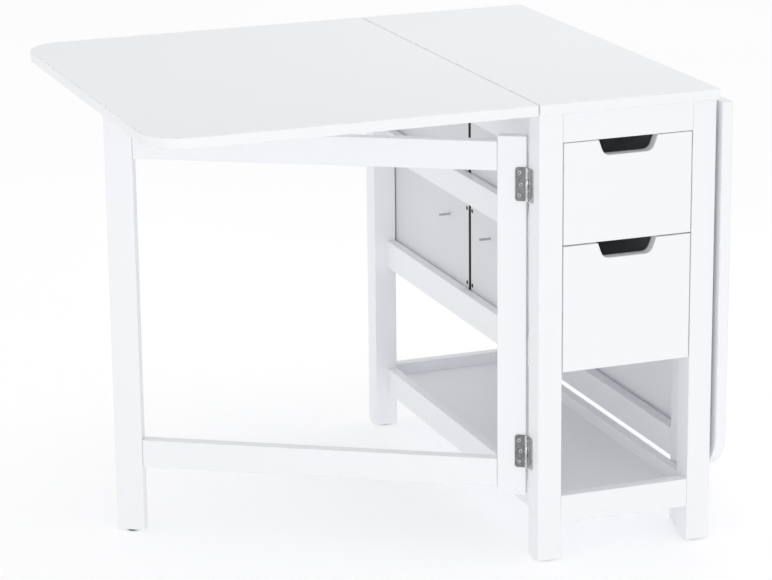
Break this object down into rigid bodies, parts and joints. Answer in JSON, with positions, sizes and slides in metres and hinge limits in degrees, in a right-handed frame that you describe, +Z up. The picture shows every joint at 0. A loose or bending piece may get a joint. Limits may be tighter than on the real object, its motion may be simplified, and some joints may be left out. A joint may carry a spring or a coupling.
{
  "type": "gateleg table",
  "caption": "White drop-leaf table: narrow cabinet with drawers at both short ends and an open shelf, one leaf raised on its swung-out gate, the other leaf hanging.",
  "frame": {"origin": "on the floor under the middle of the whole table as it stands, with the left leaf up and the right leaf hanging", "axes": "+Z up, +Y along the top boards from the front short end to the rear one, +X from the raised left leaf towards the hanging right leaf"},
  "size_m": [0.945, 0.796, 0.75],
  "materials": {
    "white_paint": "satin white paint over solid wood and board",
    "drawer_paint": "satin white paint, drawer boxes and bottoms",
    "hinge_steel": "satin grey steel"
  },
  "bodies": {
    "cabinet": {"fixed_top": "white_paint", "bottom_shelf": "white_paint", "front_left_post": "white_paint", "front_right_post": "white_paint", "rear_left_post": "white_paint", "rear_right_post": "white_paint", "left_top_rail": "white_paint", "left_middle_rail": "white_paint", "left_drawer_rail": "white_paint", "left_bottom_rail": "white_paint", "left_upper_runner": "white_paint", "left_lower_runner": "white_paint", "right_top_rail": "white_paint", "right_middle_rail": "white_paint", "right_drawer_rail": "white_paint", "right_bottom_rail": "white_paint", "right_upper_runner": "white_paint", "right_lower_runner": "white_paint", "front_apron": "white_paint", "front_bottom_rail": "white_paint", "rear_apron": "white_paint", "rear_bottom_rail": "white_paint", "left_gate_upper_hinge_post_flap": "hinge_steel", "left_gate_lower_hinge_post_flap": "hinge_steel", "left_leaf_front_hinge_top_flap": "hinge_steel", "left_leaf_rear_hinge_top_flap": "hinge_steel", "right_gate_upper_hinge_post_flap": "hinge_steel", "right_gate_lower_hinge_post_flap": "hinge_steel", "right_leaf_front_hinge_top_flap": "hinge_steel", "right_leaf_rear_hinge_top_flap": "hinge_steel"},
    "left_gate": {"left_gate_stile": "white_paint", "left_gate_leg": "white_paint", "left_gate_top_rail": "white_paint", "left_gate_lower_rail": "white_paint", "left_gate_upper_hinge_gate_flap": "hinge_steel", "left_gate_lower_hinge_gate_flap": "hinge_steel"},
    "left_leaf": {"left_leaf": "white_paint", "left_leaf_front_hinge_leaf_flap": "hinge_steel", "left_leaf_rear_hinge_leaf_flap": "hinge_steel"},
    "right_gate": {"right_gate_stile": "white_paint", "right_gate_leg": "white_paint", "right_gate_top_rail": "white_paint", "right_gate_lower_rail": "white_paint", "right_gate_upper_hinge_gate_flap": "hinge_steel", "right_gate_lower_hinge_gate_flap": "hinge_steel"},
    "right_leaf": {"right_leaf": "white_paint", "right_leaf_front_hinge_leaf_flap": "hinge_steel", "right_leaf_rear_hinge_leaf_flap": "hinge_steel"},
    "front_upper_drawer": {"front_upper_drawer_front": "white_paint", "front_upper_drawer_box": "drawer_paint", "front_upper_drawer_bottom": "drawer_paint"},
    "front_lower_drawer": {"front_lower_drawer_front": "white_paint", "front_lower_drawer_box": "drawer_paint", "front_lower_drawer_bottom": "drawer_paint"},
    "rear_upper_drawer": {"rear_upper_drawer_front": "white_paint", "rear_upper_drawer_box": "drawer_paint", "rear_upper_drawer_bottom": "drawer_paint"},
    "rear_lower_drawer": {"rear_lower_drawer_front": "white_paint", "rear_lower_drawer_box": "drawer_paint", "rear_lower_drawer_bottom": "drawer_paint"}
  },
  "joints": [
    {"name": "left_gate_swing", "type": "hinge", "parent": "cabinet", "child": "left_gate", "pos_m": [0.144, -0.349, 0.3955], "axis": [0, 0, 1], "range_deg": [-58.96, 31]},
    {"name": "right_gate_swing", "type": "hinge", "parent": "cabinet", "child": "right_gate", "pos_m": [0.451, 0.349, 0.3955], "axis": [0, 0, 1], "range_deg": [0, 0.5]},
    {"name": "left_leaf_lift", "type": "hinge", "parent": "cabinet", "child": "left_leaf", "pos_m": [0.144, 0, 0.7285], "axis": [0, 1, 0], "range_deg": [0, 4.5]},
    {"name": "right_leaf_lift", "type": "hinge", "parent": "cabinet", "child": "right_leaf", "pos_m": [0.451, 0, 0.7285], "axis": [0, -1, 0], "range_deg": [0, 90]},
    {"name": "front_upper_drawer_slide", "type": "slide", "parent": "cabinet", "child": "front_upper_drawer", "axis": [0, -1, 0], "range_m": [0, 0.257]},
    {"name": "front_lower_drawer_slide", "type": "slide", "parent": "cabinet", "child": "front_lower_drawer", "axis": [0, -1, 0], "range_m": [0, 0.257]},
    {"name": "rear_upper_drawer_slide", "type": "slide", "parent": "cabinet", "child": "rear_upper_drawer", "axis": [0, 1, 0], "range_m": [0, 0.257]},
    {"name": "rear_lower_drawer_slide", "type": "slide", "parent": "cabinet", "child": "rear_lower_drawer", "axis": [0, 1, 0], "range_m": [0, 0.257]}
  ]
}
